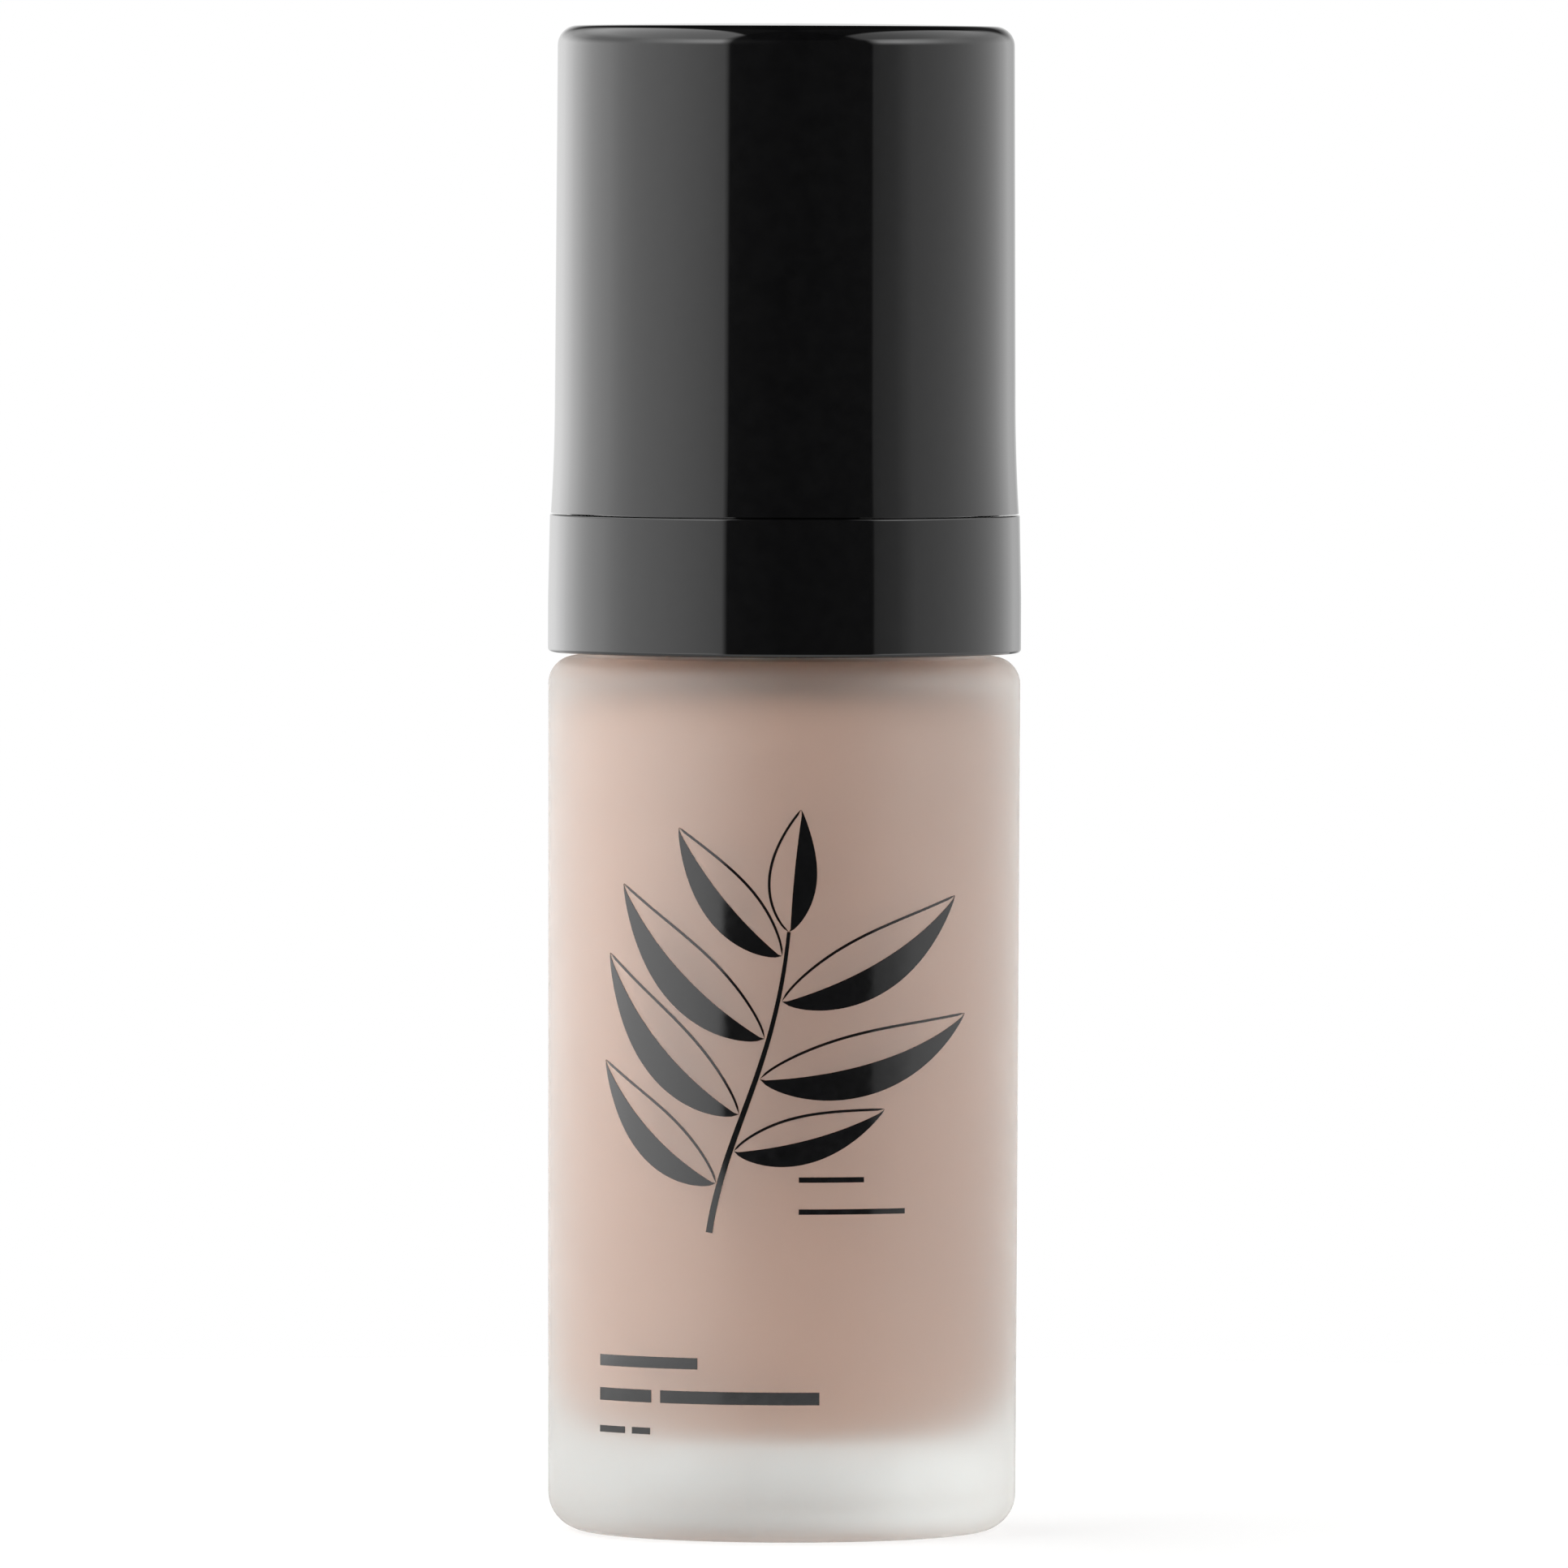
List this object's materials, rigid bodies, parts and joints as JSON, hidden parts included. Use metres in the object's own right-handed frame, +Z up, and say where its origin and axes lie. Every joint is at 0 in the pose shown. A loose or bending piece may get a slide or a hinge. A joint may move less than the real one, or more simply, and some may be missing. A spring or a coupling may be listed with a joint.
{
  "type": "pump bottle for liquid foundation",
  "caption": "Round frosted glass bottle of liquid foundation with a screw-on treatment pump, a glossy black collar and a matching pull-off overcap.",
  "frame": {"origin": "centre of the bottle's foot, on the plane that it stands on", "axes": "+Z up along the bottle's axis; -Y is the printed front, which faces the viewer; the pump's nozzle points to -X at rest"},
  "size_m": [0.0358, 0.0358, 0.114],
  "materials": {
    "frosted_glass": "satin",
    "liquid": "gloss",
    "black_gloss": "polished",
    "black_matt": "matte",
    "natural_plastic": "satin",
    "tube_plastic": "satin",
    "ball_steel": "polished",
    "spring_steel": "satin",
    "gasket_foam": "matte"
  },
  "bodies": {
    "bottle": {"glass_bottle": "frosted_glass", "foundation_liquid": "liquid"},
    "pump": {"pump_housing": "natural_plastic", "stem_guide": "natural_plastic", "neck_gasket": "gasket_foam", "dip_tube": "tube_plastic", "return_spring": "spring_steel"},
    "closure": {"screw_closure": "black_matt", "collar_sleeve": "black_gloss"},
    "overcap": {"overcap_shell": "black_gloss", "overcap_liner": "black_matt"},
    "stem": {"stem": "natural_plastic", "stem_valve": "natural_plastic"},
    "piston": {"piston": "natural_plastic"},
    "actuator": {"actuator_core": "black_matt", "actuator_shell": "black_gloss", "nozzle_spout": "black_gloss"},
    "inlet_ball": {"inlet_ball": "ball_steel"}
  },
  "joints": [
    {"name": "pump_lift", "type": "slide", "parent": "bottle", "child": "pump", "axis": [0, 0, 1], "range_m": [0, 0.0048]},
    {"name": "closure_turn", "type": "hinge", "parent": "pump", "child": "closure", "pos_m": [0, 0, 0.073], "axis": [0, 0, 1], "range_deg": [0, 540]},
    {"name": "overcap_lift", "type": "slide", "parent": "closure", "child": "overcap", "axis": [0, 0, 1], "range_m": [0, 0.04]},
    {"name": "actuator_press", "type": "slide", "parent": "pump", "child": "stem", "axis": [0, 0, -1], "range_m": [0, 0.0055], "stiffness_N_per_m": 700, "springref_m": -0.002, "deforming": ["return_spring"]},
    {"name": "piston_shift", "type": "slide", "parent": "stem", "child": "piston", "axis": [0, 0, 1], "range_m": [0, 0.0009]},
    {"name": "actuator_swivel", "type": "hinge", "parent": "stem", "child": "actuator", "pos_m": [0, 0, 0.094], "axis": [0, 0, 1], "continuous": true},
    {"name": "inlet_ball_lift", "type": "slide", "parent": "pump", "child": "inlet_ball", "axis": [0, 0, 1], "range_m": [0, 0.0012]}
  ],
  "couplings": [
    {"joint": "pump_lift", "follows": "closure_turn", "m_per_rad": 0.00050532}
  ]
}
